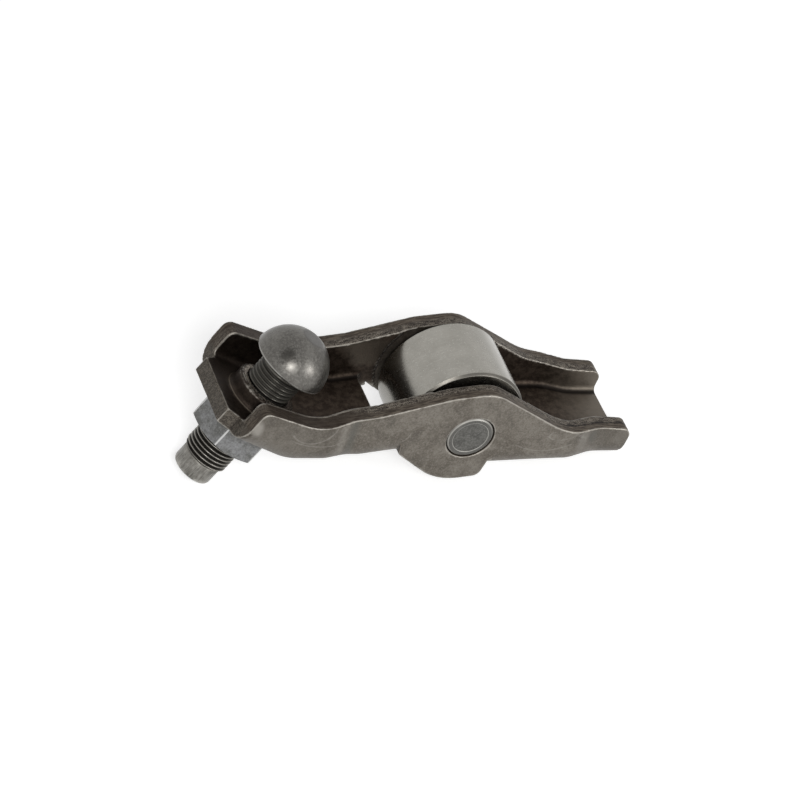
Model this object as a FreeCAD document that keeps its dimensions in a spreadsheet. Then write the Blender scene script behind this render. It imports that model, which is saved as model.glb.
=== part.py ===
import FreeCAD, Part
import os
import re

import Sketcher
from FreeCAD import Placement, Rotation, Vector

# Roller finger rocker arm for an overhead camshaft, in millimetres.
# The origin is the middle of the roller's axis. +X points to the valve end, Y runs along the roller's
# axis and +Z is up, out of the open side of the channel. The arm lies on its valve end and screw tail.

DOC = FreeCAD.newDocument("rocker_arm")
SHEET = DOC.addObject("Spreadsheet::Sheet", "Sizes")

# Driving dimensions
SIZES = {
    # pressed steel channel
    "sheet": 2.95,                # thickness of the sheet
    "bend_inner": 0.95,           # inner radius where a wall turns into the web
    "roller_gap": 0.95,           # from each end of the roller to the wall beside it
    "ball_step": 0.95,            # how much wider each wall stands at the ball end
    "valve_step": 1.60,           # how much each wall draws in at the valve end
    "joggle_round": 6.5,          # outer radius of each soft bend where the walls draw in
    "ball_joggle_x": -20.60,      # X where the walls have drawn in from the ball end
    "ball_joggle_run": 3.80,
    "heel_to_joggle": 1.90,       # from the valve pad's heel to where the walls start to draw in
    "valve_joggle_run": 4.80,
    "spot_radius": 10.80, "spot_depth": 0.20,   # round recess in each wall beside the roller
    # upper edge of the walls, as corners and the radius that rounds each
    "shoulder_x": -36.40, "shoulder_z": 12.00, "shoulder_round": 1.4,
    "saddle_x": -27.20, "saddle_z": 6.95, "saddle_round": 9.0,
    "rise_x": -16.50, "rise_z": 7.10, "rise_round": 20.0,
    "crown_z": 9.10,
    "crown_back_x": -4.20, "crown_back_round": 12.0,
    "crown_front_x": 3.20, "crown_front_round": 7.0,
    "slope_x": 16.97, "slope_z": -1.45, "slope_round": 14.0,
    "nose_reach": 1.70, "nose_z": -4.45, "nose_round": 1.7,   # how far the ears reach past the toe
    # underside, from the valve end back to the screw plate
    "toe_x": 28.60, "toe_z": -11.167,
    "pad_run": 11.10, "heel_z": -9.50,          # the valve pad's length, back from the toe
    "front_x": 4.70, "front_z": -8.10,
    "notch_x": 3.90, "notch_z": -5.70,
    "lobe_z": -8.80,              # lowest edge of the lobes that carry the roller's pin
    "lobe_front_x": 2.70, "lobe_front_round": 1.6,
    "lobe_back_x": -4.70, "lobe_back_round": 10.0,
    "lobe_top_z": -1.71,          # where the back of each lobe meets the web
    "web_end_x": -12.10, "web_end_z": -2.55,
    "web_x": -18.60, "web_z": -2.72, "web_round": 6.0,
    # window in the web that the roller turns in
    "window_back_x": -14.05, "window_front_x": 11.60, "window_round": 1.2,
    # screw plate at the ball end, placed along and across the screw's axis
    "screw_foot_x": -41.633, "screw_foot_z": -6.892,
    "screw_lean": 55.76,          # degrees from +X up to the screw's axis
    "plate_seat": 10.75,          # along the axis from the screw's foot to the plate's outer face
    "plate_heel": 4.60,           # across the axis, from there to where the plate turns into the web
    "plate_heel_round": 9.0,
    "wall_end": 6.20,             # across the axis to the end of the walls
    "tongue_end": 8.45,           # across the axis to the end of the plate's own tongue
    "tongue_half": 7.20, "tongue_corner": 1.1,
    "collar_radius": 5.40, "collar_rise": 2.95, "collar_root": 0.9, "collar_rim": 0.35,
    # adjusting screw, with stations along its axis from its foot
    "thread_radius": 4.00, "thread_clearance": 0.05,
    "tail_radius": 3.47, "tail_end": -3.02, "tail_chamfer": 0.31,
    "thread_start": 0.40, "thread_stop": 20.30, "neck_radius": 3.50,
    "ball_station": 21.90, "ball_radius": 6.49, "ball_drop": 0.05, "ball_rim": 0.65, "ball_flat": 2.10,
    "socket_flats": 4.0, "socket_depth": 4.0,
    # lock nut
    "nut_flats": 12.0, "nut_height": 5.35, "nut_turn": 10.7, "nut_countersink": 0.45,
    # roller, its pin and its needles
    "roller_radius": 10.48, "roller_half_width": 6.35, "roller_edge": 0.45, "roller_bore_edge": 0.35,
    "pin_radius": 4.19, "pin_sink": 0.08, "pin_chamfer": 0.35,
    "needle_radius": 0.75, "needle_clearance": 0.02, "needle_half_length": 6.0, "needle_bevel": 0.2,
}
ROLLER_HALF = "(roller_half_width + roller_gap + sheet)"   # half width over the walls beside the roller
BALL_HALF = "(roller_half_width + roller_gap + sheet + ball_step)"
VALVE_HALF = "(roller_half_width + roller_gap + sheet - valve_step)"
NEEDLE_COUNT = 20
BEYOND = 40.0                     # a reach that is past every face of the part

for row, (alias, size) in enumerate(SIZES.items(), start=1):
    SHEET.set("A%d" % row, alias.replace("_", " "))
    SHEET.set("B%d" % row, str(size))
    SHEET.setAlias("B%d" % row, alias)
DOC.recompute()


# Expressions in the driving dimensions

def sized(expression):
    """The expression with each driving dimension in it read from the sheet."""
    return re.sub(r"[a-z_]+", lambda m: "Sizes." + m.group() if m.group() in SIZES else m.group(), expression)


def bind(thing, prop, expression):
    """Tie a property to an expression in the driving dimensions."""
    thing.setExpression(prop, sized(expression))


def number(thing, expression):
    """What an expression comes to now."""
    return float(thing.evalExpression(sized(expression)))


def along_screw(station, across):
    """X and Z of a point given along the screw's axis from its foot, and across it."""
    cosine, sine = "cos(screw_lean * 1 deg)", "sin(screw_lean * 1 deg)"
    x = "(screw_foot_x + (%s) * %s - (%s) * %s)" % (station, cosine, across, sine)
    z = "(screw_foot_z + (%s) * %s + (%s) * %s)" % (station, sine, across, cosine)
    return x, z


def heading(start, end):
    """The angle of a line from start to end."""
    return "atan2(%s - %s; %s - %s)" % (end[1], start[1], end[0], start[0])


def beyond(start, end):
    """The point as far past end as start lies before it."""
    return "(2 * %s - %s)" % (end[0], start[0]), "(2 * %s - %s)" % (end[1], start[1])


def inside(before, corner, after):
    """A corner of the underside, moved in by the sheet's thickness, square to both of its sides."""
    first, second = heading(before, corner), heading(corner, after)
    middle, half = "(%s + %s) / 2" % (first, second), "(%s - %s) / 2" % (second, first)
    x = "(%s - sheet * sin(%s) / cos(%s))" % (corner[0], middle, half)
    z = "(%s + sheet * cos(%s) / cos(%s))" % (corner[1], middle, half)
    return x, z


# Sketches and features

def check(thing):
    """Stop if an object failed to build."""
    if {"Invalid", "Error"} & set(thing.State):
        raise RuntimeError("%s failed: %s" % (thing.Label, thing.State))


def new_body(name):
    """An empty body."""
    return DOC.addObject("PartDesign::Body", name)


def new_sketch(body, name, role, offset=None):
    """A sketch on one of the body's own planes, raised off it by an expression."""
    sketch = body.newObject("Sketcher::SketchObject", name)
    plane = next(f for f in body.Origin.OriginFeatures if f.Role == role)
    sketch.AttachmentSupport = [(plane, "")]
    sketch.MapMode = "FlatFace"
    if offset:
        bind(sketch, "AttachmentOffset.Base.z", offset)
    return sketch


def add_outline(sketch, points, arcs=None):
    """Close a ring of lines through points. arcs maps a side's number to its centre and radius."""
    arcs = arcs or {}
    first = sketch.GeometryCount
    places = [Vector(number(sketch, p[0]), number(sketch, p[1]), 0) for p in points]
    count = len(points)
    for i in range(count):
        start, end = places[i], places[(i + 1) % count]
        if i in arcs:
            centre = Vector(number(sketch, arcs[i][0]), number(sketch, arcs[i][1]), 0)
            circle = Part.Circle(centre, Vector(0, 0, 1), (start - centre).Length)
            sketch.addGeometry(Part.ArcOfCircle(circle, circle.parameter(start), circle.parameter(end)), False)
            index = sketch.addConstraint(Sketcher.Constraint("Radius", first + i, circle.Radius))
            bind(sketch, "Constraints[%d]" % index, arcs[i][2])
        else:
            sketch.addGeometry(Part.LineSegment(start, end), False)
    for i in range(count):
        sketch.addConstraint(Sketcher.Constraint("Coincident", first + i, 2, first + (i + 1) % count, 1))
    for i, (place, point) in enumerate(zip(places, points)):
        for kind, size, expression in (("DistanceX", place.x, point[0]), ("DistanceY", place.y, point[1])):
            index = sketch.addConstraint(Sketcher.Constraint(kind, -1, 1, first + i, 1, size))
            bind(sketch, "Constraints[%d]" % index, expression)


def add_circle(sketch, radius):
    """A circle about the sketch's origin."""
    index = sketch.addGeometry(Part.Circle(Vector(0, 0, 0), Vector(0, 0, 1), number(sketch, radius)), False)
    sketch.addConstraint(Sketcher.Constraint("Coincident", index, 3, -1, 1))
    held = sketch.addConstraint(Sketcher.Constraint("Radius", index, number(sketch, radius)))
    bind(sketch, "Constraints[%d]" % held, radius)


def pad(body, sketch, length, both_ways=True):
    """Raise a sketch into a solid."""
    feature = body.newObject("PartDesign::Pad", sketch.Name + "_pad")
    feature.Profile = sketch
    feature.SideType = "Symmetric" if both_ways else "One side"
    bind(feature, "Length", length)
    DOC.recompute()
    return feature


def pocket(body, sketch, length, both_ways=True, reverse=False):
    """Cut a sketch out of the solid so far."""
    feature = body.newObject("PartDesign::Pocket", sketch.Name + "_pocket")
    feature.Profile = sketch
    feature.SideType = "Symmetric" if both_ways else "One side"
    feature.Reversed = reverse
    bind(feature, "Length", length)
    DOC.recompute()
    return feature


def turned(body, sketch, kind="PartDesign::Revolution"):
    """A full turn of a sketch about its own upright axis, added or cut away."""
    feature = body.newObject(kind, sketch.Name + "_turned")
    feature.Profile = sketch
    feature.ReferenceAxis = (sketch, ["V_Axis"])
    feature.Angle = 360
    DOC.recompute()
    return feature


def dress(body, base, kind, name, size_prop, size, edges):
    """Round or bevel the base feature's edges that a test picks."""
    names = ["Edge%d" % i for i, edge in enumerate(base.Shape.Edges, start=1) if edges(edge)]
    if not names:
        raise RuntimeError("no edge for " + name)
    feature = body.newObject("PartDesign::" + kind, name)
    feature.Base = (base, names)
    bind(feature, size_prop, size)
    DOC.recompute()
    check(feature)
    return feature


def fillet(body, base, name, radius, edges):
    return dress(body, base, "Fillet", name, "Radius", radius, edges)


def chamfer(body, base, name, size, edges):
    return dress(body, base, "Chamfer", name, "Size", size, edges)


TOUCH = 1e-4


def crosswise_at(sketch, point):
    """Picks the edges along Y at one corner of a side view."""
    x, z = number(sketch, point[0]), number(sketch, point[1])
    return lambda e: all(abs(v.X - x) < TOUCH and abs(v.Z - z) < TOUCH for v in e.Vertexes)


def upright_at(sketch, x, y):
    """Picks the upright edges at one corner of a plan view, on both sides of the middle."""
    x, y = number(sketch, x), number(sketch, y)
    return lambda e: all(abs(v.X - x) < TOUCH and abs(abs(v.Y) - y) < TOUCH for v in e.Vertexes)


def ring_at(radius, height, axis):
    """Picks the circular edges of one radius at one height along an axis of the body."""
    def test(edge):
        curve = edge.Curve
        return (isinstance(curve, Part.Circle) and abs(curve.Radius - radius) < TOUCH
                and abs(abs(curve.Center[axis]) - abs(height)) < TOUCH)
    return test


def put_on_screw(thing, station="0"):
    """Stand an object on the screw's axis, its own Z along the axis and its own X down across it."""
    x, z = along_screw(station, "0")
    thing.Placement = Placement(Vector(0, 0, 0), Rotation(Vector(0, 1, 0), 10))
    bind(thing, "Placement.Base.x", x)
    bind(thing, "Placement.Base.z", z)
    bind(thing, "Placement.Rotation.Angle", "90 deg - screw_lean * 1 deg")


# Corners of the channel's side view, each with the radius that rounds it
PLATE_TOP = along_screw("plate_seat", "wall_end")
PLATE_HEEL = along_screw("plate_seat", "-plate_heel")
SHOULDER = ("shoulder_x", "shoulder_z")
SADDLE = ("saddle_x", "saddle_z")
RISE = ("rise_x", "rise_z")
CROWN_BACK = ("crown_back_x", "crown_z")
CROWN_FRONT = ("crown_front_x", "crown_z")
SLOPE = ("slope_x", "slope_z")
NOSE = ("(toe_x + nose_reach)", "nose_z")
TOE = ("toe_x", "toe_z")
HEEL = ("(toe_x - pad_run)", "heel_z")
FRONT = ("front_x", "front_z")
LOBE_FRONT = ("lobe_front_x", "lobe_z")
LOBE_BACK = ("lobe_back_x", "lobe_z")
WEB_END = ("web_end_x", "web_end_z")
WEB = ("web_x", "web_z")

SIDE_VIEW = [
    PLATE_TOP, SHOULDER, SADDLE, RISE, CROWN_BACK, CROWN_FRONT, SLOPE, NOSE, TOE, HEEL, FRONT,
    ("front_x", "notch_z"), ("notch_x", "notch_z"), LOBE_FRONT, LOBE_BACK,
    ("web_end_x", "lobe_top_z"), WEB_END, WEB, PLATE_HEEL,
]
SIDE_ROUNDS = {
    "shoulder_round": SHOULDER, "saddle_round": SADDLE, "rise_round": RISE,
    "crown_back_round": CROWN_BACK, "crown_front_round": CROWN_FRONT, "slope_round": SLOPE,
    "nose_round": NOSE, "lobe_front_round": LOBE_FRONT, "lobe_back_round": LOBE_BACK,
}


def plan_corners(inset):
    """Corners of one wall's face in plan, from the ball end to the valve end, moved in by inset."""
    ball = "%s * tan(atan2(ball_step; ball_joggle_run) / 2)" % inset
    valve = "%s * tan(atan2(valve_step; valve_joggle_run) / 2)" % inset
    start = HEEL[0] + " + heel_to_joggle"
    return [
        ("(ball_joggle_x - ball_joggle_run - %s)" % ball, "(%s - %s)" % (BALL_HALF, inset)),
        ("(ball_joggle_x - %s)" % ball, "(%s - %s)" % (ROLLER_HALF, inset)),
        ("(%s - %s)" % (start, valve), "(%s - %s)" % (ROLLER_HALF, inset)),
        ("(%s + valve_joggle_run - %s)" % (start, valve), "(%s - %s)" % (VALVE_HALF, inset)),
    ]


def trim_to_plan(body, name, inset, bends):
    """Cut a block down to the walls' plan view, a given inset inside it, and ease some of its bends."""
    corners = plan_corners(inset)
    far = str(BEYOND)
    sketch = new_sketch(body, name, "XY_Plane")
    for side in ("", "-"):
        ring = [("-2 * " + far, side + corners[0][1])]
        ring += [(x, side + y) for x, y in corners]
        ring += [("2 * " + far, side + corners[-1][1]), ("2 * " + far, side + far), ("-2 * " + far, side + far)]
        add_outline(sketch, ring)
    tip = pocket(body, sketch, "4 * " + far)
    for i in bends:
        x, y = corners[i]
        radius = "joggle_round %s %s" % ("-" if i % 2 == 0 else "+", inset)
        tip = fillet(body, tip, "%s_round_%d" % (name, i), radius, upright_at(sketch, x, y))
    return tip


def lower_edges(shape):
    """Picks the long edges where a wall meets the underside."""
    def test(edge):
        middle = edge.valueAt((edge.FirstParameter + edge.LastParameter) / 2)
        faces = shape.ancestorsOfType(edge, Part.Face)
        normals = [f.normalAt(*f.Surface.parameter(middle)) for f in faces]
        wall = any(abs(n.y) > 0.9 for n in normals)
        floor = any(abs(n.y) < 0.1 and n.z < -0.5 for n in normals)
        return wall and floor
    return test


def channel_length(name, underside, rounds, bends, inset, bend_radius):
    """A filled length of channel, open upwards: its underside in side view, corners to round in that
    view, bends in plan, and how far it lies inside the channel's outer faces."""
    body = new_body(name)
    sketch = new_sketch(body, name + "_side", "XZ_Plane")
    add_outline(sketch, underside + [(underside[-1][0], str(BEYOND))])
    tip = pad(body, sketch, "4 * " + BALL_HALF)
    for i, (radius, corner) in enumerate(rounds):
        tip = fillet(body, tip, "%s_round_%d" % (name, i), radius, crosswise_at(sketch, corner))
    tip = trim_to_plan(body, name + "_plan", inset, bends)
    fillet(body, tip, name + "_bend", bend_radius, lower_edges(tip.Shape))
    return body


def middle_length(name, start, end, half_width, back_round=None):
    """The straight length between the two, from wall to wall and open both ways."""
    body = new_body(name)
    sketch = new_sketch(body, name + "_plan", "XY_Plane")
    add_outline(sketch, [(start, "-" + half_width), (end, "-" + half_width), (end, half_width),
                         (start, half_width)])
    tip = pad(body, sketch, "2 * " + str(BEYOND))
    if back_round:
        fillet(body, tip, name + "_corners", back_round, upright_at(sketch, start, half_width))
    return body


def outer_form():
    """The outside of the channel, as if it were solid and open upwards."""
    plate_line = along_screw("plate_seat", str(BEYOND))
    ball = channel_length(
        "ball_form", [plate_line, PLATE_HEEL, WEB, WEB_END],
        [("plate_heel_round", PLATE_HEEL), ("web_round", WEB)], [0, 1], "0", "bend_inner + sheet")
    valve = channel_length(
        "valve_form", [("front_x", str(BEYOND)), FRONT, HEEL, beyond(HEEL, TOE)],
        [], [2, 3], "0", "bend_inner + sheet")
    middle = middle_length("lobe_form", "web_end_x", "front_x", ROLLER_HALF)
    return fused("outer_form", [ball, middle, valve])


def inner_form():
    """The space inside the channel, which follows its outside at the sheet's thickness."""
    plate_corner = inside(along_screw("plate_seat", str(BEYOND)), PLATE_HEEL, WEB)
    web_corner = inside(PLATE_HEEL, WEB, WEB_END)
    web_end = inside(WEB, WEB_END, beyond(WEB, WEB_END))
    ball = channel_length(
        "ball_space", [along_screw("plate_seat + sheet", str(BEYOND)), plate_corner, web_corner, web_end],
        [("plate_heel_round - sheet", plate_corner), ("web_round - sheet", web_corner)],
        [0, 1], "sheet", "bend_inner")
    past_toe = beyond(HEEL, TOE)
    web_start = inside(beyond(HEEL, FRONT), FRONT, HEEL)
    pad_end = inside(TOE, past_toe, beyond(TOE, past_toe))
    valve = channel_length(
        "valve_space", [(web_start[0], str(BEYOND)), web_start, inside(FRONT, HEEL, TOE), pad_end],
        [], [2, 3], "sheet", "bend_inner")
    window = middle_length(
        "window", "window_back_x", "window_front_x", "(roller_half_width + roller_gap)", "window_round")
    return fused("inner_form", [ball, window, valve])


def side_form():
    """The channel's side view, with its corners rounded, as thick as the channel is wide."""
    body = new_body("side_form")
    sketch = new_sketch(body, "side_view", "XZ_Plane")
    add_outline(sketch, SIDE_VIEW)
    tip = pad(body, sketch, "2 * " + BALL_HALF)
    for alias, corner in SIDE_ROUNDS.items():
        tip = fillet(body, tip, "side_" + alias, alias, crosswise_at(sketch, corner))
    return body


def fused(name, shapes):
    joined = DOC.addObject("Part::MultiFuse", name)
    joined.Shapes = shapes
    return joined


def boolean(kind, name, base, tool):
    result = DOC.addObject("Part::" + kind, name)
    result.Base, result.Tool = base, tool
    return result


def tongue():
    """The flat end of the screw plate that stands out past the walls, with its corners cut."""
    body = new_body("tongue")
    sketch = new_sketch(body, "tongue_plan", "XY_Plane")
    end, side = "-tongue_end", "tongue_half"
    add_outline(sketch, [
        ("0", "-" + side), ("0", side), ("-(tongue_end - tongue_corner * 2)", side),
        (end, "(tongue_half - tongue_corner)"), (end, "-(tongue_half - tongue_corner)"),
        ("-(tongue_end - tongue_corner * 2)", "-" + side),
    ])
    pad(body, sketch, "sheet", both_ways=False)
    put_on_screw(body, "plate_seat")
    return body


def collar():
    """The round collar drawn up out of the plate, which carries the screw's thread."""
    body = new_body("collar")
    sketch = new_sketch(body, "collar_profile", "XZ_Plane")
    foot = "(collar_radius + 2 * collar_root)"
    add_outline(sketch, [
        ("0", "sheet / 2"), (foot, "sheet / 2"), (foot, "sheet"), ("collar_radius", "sheet"),
        ("collar_radius", "(sheet + collar_rise)"), ("0", "(sheet + collar_rise)"),
    ])
    tip = turned(body, sketch)
    radius, sheet, rise = (SIZES[k] for k in ("collar_radius", "sheet", "collar_rise"))
    tip = fillet(body, tip, "collar_root_round", "collar_root", ring_at(radius, sheet, 2))
    chamfer(body, tip, "collar_rim_bevel", "collar_rim", ring_at(radius, sheet + rise, 2))
    put_on_screw(body, "plate_seat")
    return body


def bore(name, radius, length):
    """A long round cutter, centred on the middle of its own length."""
    body = new_body(name)
    sketch = new_sketch(body, name + "_circle", "XY_Plane")
    add_circle(sketch, radius)
    pad(body, sketch, length)
    return body


def rocker_body():
    """The pressed channel with its screw plate, tongue and collar, and the bores for pin and screw."""
    filled = boolean("Common", "filled_channel", side_form(), outer_form())
    channel = boolean("Cut", "channel", filled, inner_form())
    joined = fused("channel_with_plate", [channel, tongue(), collar()])
    pin_hole = bore("pin_hole", "pin_radius", "4 * " + BALL_HALF)
    spot_faces = bore("spot_faces", "spot_radius", "2 * (roller_half_width + roller_gap + spot_depth)")
    for cross_bore in (pin_hole, spot_faces):
        cross_bore.Placement = Placement(Vector(0, 0, 0), Rotation(Vector(1, 0, 0), 90))
    screw_hole = bore("screw_hole", "thread_radius + thread_clearance", "4 * (sheet + collar_rise)")
    put_on_screw(screw_hole, "plate_seat + sheet")
    part = boolean("Cut", "rocker_body", joined, fused("bores", [pin_hole, spot_faces, screw_hole]))
    DOC.recompute()
    return part


def adjusting_screw():
    """Turned screw with a ball head, a plain tail and a hexagon socket in the tail's end."""
    body = new_body("adjusting_screw")
    sketch = new_sketch(body, "screw_profile", "XZ_Plane")
    under = "(ball_station - ball_drop)"
    under_radius = "sqrt(ball_radius ^ 2 - ball_drop ^ 2)"
    top = "(ball_station + sqrt(ball_radius ^ 2 - ball_flat ^ 2))"
    points = [
        ("0", "tail_end"), ("(tail_radius - tail_chamfer)", "tail_end"),
        ("tail_radius", "(tail_end + tail_chamfer)"),
        ("tail_radius", "(thread_start - thread_radius + tail_radius)"), ("thread_radius", "thread_start"),
        ("thread_radius", "thread_stop"), ("neck_radius", "(thread_stop + thread_radius - neck_radius)"),
        ("neck_radius", under), (under_radius, under), ("ball_flat", top), ("0", top),
    ]
    add_outline(sketch, points, {8: ("0", "ball_station", "ball_radius")})
    tip = turned(body, sketch)
    chamfer(body, tip, "ball_rim_bevel", "ball_rim",
            ring_at(number(sketch, under_radius), number(sketch, under), 2))
    socket = new_sketch(body, "socket_hexagon", "XY_Plane", "tail_end")
    add_outline(socket, hexagon("socket_flats", "0"))
    pocket(body, socket, "socket_depth", both_ways=False, reverse=True)
    put_on_screw(body)
    return body


def hexagon(flats, turn):
    """Corners of a hexagon about the origin, of a given width across flats, turned by an angle."""
    radius = "%s / sqrt(3)" % flats
    angles = ["(%d deg - %s * 1 deg)" % (60 * k, turn) for k in range(6)]
    return [("(%s * cos(%s))" % (radius, a), "(%s * sin(%s))" % (radius, a)) for a in angles]


def lock_nut():
    """Hexagon nut against the plate's outer face, bevelled and countersunk at both ends."""
    body = new_body("lock_nut")
    sketch = new_sketch(body, "nut_hexagon", "XY_Plane")
    add_outline(sketch, hexagon("nut_flats", "nut_turn"))
    pad(body, sketch, "nut_height", both_ways=False)
    bevel = new_sketch(body, "nut_bevel", "XZ_Plane")
    inner, outer = "(nut_flats * 0.48)", "(nut_flats * 0.7)"
    fall = "((%s - %s) * tan(30 deg))" % (outer, inner)
    add_outline(bevel, [(inner, "0"), (outer, "0"), (outer, fall)])
    add_outline(bevel, [(inner, "nut_height"), (outer, "(nut_height - %s)" % fall), (outer, "nut_height")])
    turned(body, bevel, "PartDesign::Groove")
    hole = new_sketch(body, "nut_hole", "XY_Plane")
    add_circle(hole, "thread_radius + thread_clearance")
    tip = pocket(body, hole, "4 * nut_height")
    radius = SIZES["thread_radius"] + SIZES["thread_clearance"]
    ends = [ring_at(radius, 0, 2), ring_at(radius, SIZES["nut_height"], 2)]
    chamfer(body, tip, "nut_countersinks", "nut_countersink", lambda e: any(end(e) for end in ends))
    put_on_screw(body, "plate_seat - nut_height")
    return body


def race_radius():
    """Expression for the roller's bore, which runs on the needles round the pin."""
    return "(pin_radius + 2 * needle_radius + 2 * needle_clearance)"


def roller():
    """Hardened outer ring of the cam roller."""
    body = new_body("roller")
    sketch = new_sketch(body, "roller_profile", "XY_Plane")
    add_outline(sketch, [
        (race_radius(), "-roller_half_width"), ("roller_radius", "-roller_half_width"),
        ("roller_radius", "roller_half_width"), (race_radius(), "roller_half_width"),
    ])
    tip = turned(body, sketch)
    half = SIZES["roller_half_width"]
    tip = chamfer(body, tip, "roller_edges", "roller_edge", ring_at(SIZES["roller_radius"], half, 1))
    chamfer(body, tip, "roller_bore_edges", "roller_bore_edge",
            ring_at(number(sketch, race_radius()), half, 1))
    return body


def roller_pin():
    """Pin that the roller turns on, held in both lobes and sunk a little below their faces."""
    body = new_body("roller_pin")
    sketch = new_sketch(body, "pin_profile", "XY_Plane")
    end, step = "(%s - pin_sink)" % ROLLER_HALF, "(%s - pin_sink - pin_chamfer)" % ROLLER_HALF
    face = "(pin_radius - pin_chamfer)"
    add_outline(sketch, [
        ("0", "-" + end), (face, "-" + end), ("pin_radius", "-" + step),
        ("pin_radius", step), (face, end), ("0", end),
    ])
    turned(body, sketch)
    return body


def needle(index):
    """One needle of the full ring between the pin and the roller, with bevelled ends."""
    body = new_body("needle_%02d" % (index + 1))
    sketch = new_sketch(body, "needle_profile_%02d" % (index + 1), "XY_Plane")
    end, step = "needle_half_length", "(needle_half_length - needle_bevel)"
    face = "(needle_radius - needle_bevel)"
    add_outline(sketch, [
        ("0", "-" + end), (face, "-" + end), ("needle_radius", "-" + step),
        ("needle_radius", step), (face, end), ("0", end),
    ])
    turned(body, sketch)
    pitch = "(pin_radius + needle_clearance + needle_radius)"
    angle = "(%d deg)" % (360 * index / NEEDLE_COUNT)
    bind(body, "Placement.Base.x", "%s * cos(%s)" % (pitch, angle))
    bind(body, "Placement.Base.z", "%s * sin(%s)" % (pitch, angle))
    return body


def main():
    parts = [rocker_body(), adjusting_screw(), lock_nut(), roller(), roller_pin()]
    parts += [needle(i) for i in range(NEEDLE_COUNT)]
    for part in parts:
        part.Label = part.Name
    DOC.recompute()
    for thing in DOC.Objects:
        check(thing)
    os.makedirs("parts", exist_ok=True)
    for part in parts:
        shape = part.Shape
        if shape.isNull() or not shape.isValid() or len(shape.Solids) != 1:
            raise RuntimeError("%s has no single valid solid" % part.Label)
        shape.exportStep("parts/%s.step" % part.Label)
        print("%-18s %9.1f mm3" % (part.Label, shape.Volume))


main()
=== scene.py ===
"""Looks of the rocker arm, in metres and in the part's own frame.

The origin is the middle of the roller's axis, +X points to the valve end, +Y away from the camera
and +Z up, out of the channel. Sizes below are in millimetres until they reach a mesh.
"""
import math

import bmesh
import bpy
import numpy as np
from mathutils import Matrix, Vector
from mathutils.bvhtree import BVHTree
from mathutils.kdtree import KDTree


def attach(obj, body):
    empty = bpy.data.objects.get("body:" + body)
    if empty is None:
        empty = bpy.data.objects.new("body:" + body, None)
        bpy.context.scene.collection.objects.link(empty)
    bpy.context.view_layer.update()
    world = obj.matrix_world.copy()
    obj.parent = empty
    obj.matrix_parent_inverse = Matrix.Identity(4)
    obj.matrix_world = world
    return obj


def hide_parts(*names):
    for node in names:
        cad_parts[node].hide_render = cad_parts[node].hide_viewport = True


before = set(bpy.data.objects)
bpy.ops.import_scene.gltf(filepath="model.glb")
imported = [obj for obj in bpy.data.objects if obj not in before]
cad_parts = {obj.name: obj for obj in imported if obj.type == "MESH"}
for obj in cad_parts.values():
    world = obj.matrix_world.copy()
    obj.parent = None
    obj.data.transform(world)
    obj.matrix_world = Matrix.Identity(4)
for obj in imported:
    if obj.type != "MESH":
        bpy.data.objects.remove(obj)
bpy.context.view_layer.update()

MM = 0.001
LEAN = math.radians(55.76)
SCREW_FOOT = np.array([-41.633, 0.0, -6.892])
ALONG = np.array([math.cos(LEAN), 0.0, math.sin(LEAN)])      # up the screw's axis
ACROSS = np.array([-math.sin(LEAN), 0.0, math.cos(LEAN)])    # square to it, up and back
SIDE = np.array([0.0, 1.0, 0.0])
FLOOR = -11.167
SHEET, BEND = 2.95, 0.95                                     # thickness and inner bend radius


# Meshes from arrays

def smooth(x):
    """Eases 0 to 1: three x squared less two x cubed, held at both ends."""
    x = np.clip(x, 0.0, 1.0)
    return x * x * (3.0 - 2.0 * x)


def make_mesh(name, points, faces, body, stands_for, slot, **attributes):
    """An object from point and face arrays in millimetres, riding on a body in place of a CAD node."""
    mesh = bpy.data.meshes.new(name)
    mesh.from_pydata((points * MM).tolist(), [], faces)
    mesh.polygons.foreach_set("use_smooth", np.ones(len(mesh.polygons), bool))
    for key, values in attributes.items():
        mesh.attributes.new(key, "FLOAT", "POINT").data.foreach_set("value", values.astype(np.float32))
    mesh.update()
    piece = bpy.data.objects.new(name, mesh)
    bpy.context.scene.collection.objects.link(piece)
    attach(piece, body)
    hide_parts(stands_for)
    return piece


def closed_rows(grid, first_pole, last_pole):
    """Points and faces of rows of a surface that goes round. grid is rows by columns by three, each row
    a closed ring. A pole closes an end with a fan. Without poles the last row joins the first."""
    rows, cols = grid.shape[:2]
    index = np.arange(rows * cols).reshape(rows, cols)
    lower = index[:-1] if first_pole or last_pole else index
    upper = np.roll(index, -1, axis=0)[:len(lower)]
    quads = np.stack([lower, np.roll(lower, -1, 1), np.roll(upper, -1, 1), upper], -1).reshape(-1, 4)
    points = grid.reshape(-1, 3)
    faces = quads.tolist()
    for pole, row, ring in ((first_pole, 0, index[0][::-1]), (last_pole, -1, index[-1])):
        if pole:
            tip = len(points)
            points = np.vstack([points, grid[row].mean(0)])
            faces += np.stack([ring, np.roll(ring, -1), np.full(cols, tip)], -1).tolist()
    return points, faces


def rounded(corners, steps=5):
    """A path through corners given as (station, radius, rounding): each corner is replaced by a curve
    that leaves one side and meets the next at the rounding's distance, as a quadratic blend of the two."""
    path = []
    for i, (t, r, ease) in enumerate(corners):
        here = np.array([t, r])
        if ease == 0 or i in (0, len(corners) - 1):
            path.append(here)
            continue
        back, on = np.array(corners[i - 1][:2]) - here, np.array(corners[i + 1][:2]) - here
        a = here + back / np.linalg.norm(back) * ease
        b = here + on / np.linalg.norm(on) * ease
        for s in np.linspace(0, 1, steps):
            path.append((1 - s) ** 2 * a + 2 * s * (1 - s) * here + s ** 2 * b)
    return np.array(path)


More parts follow.
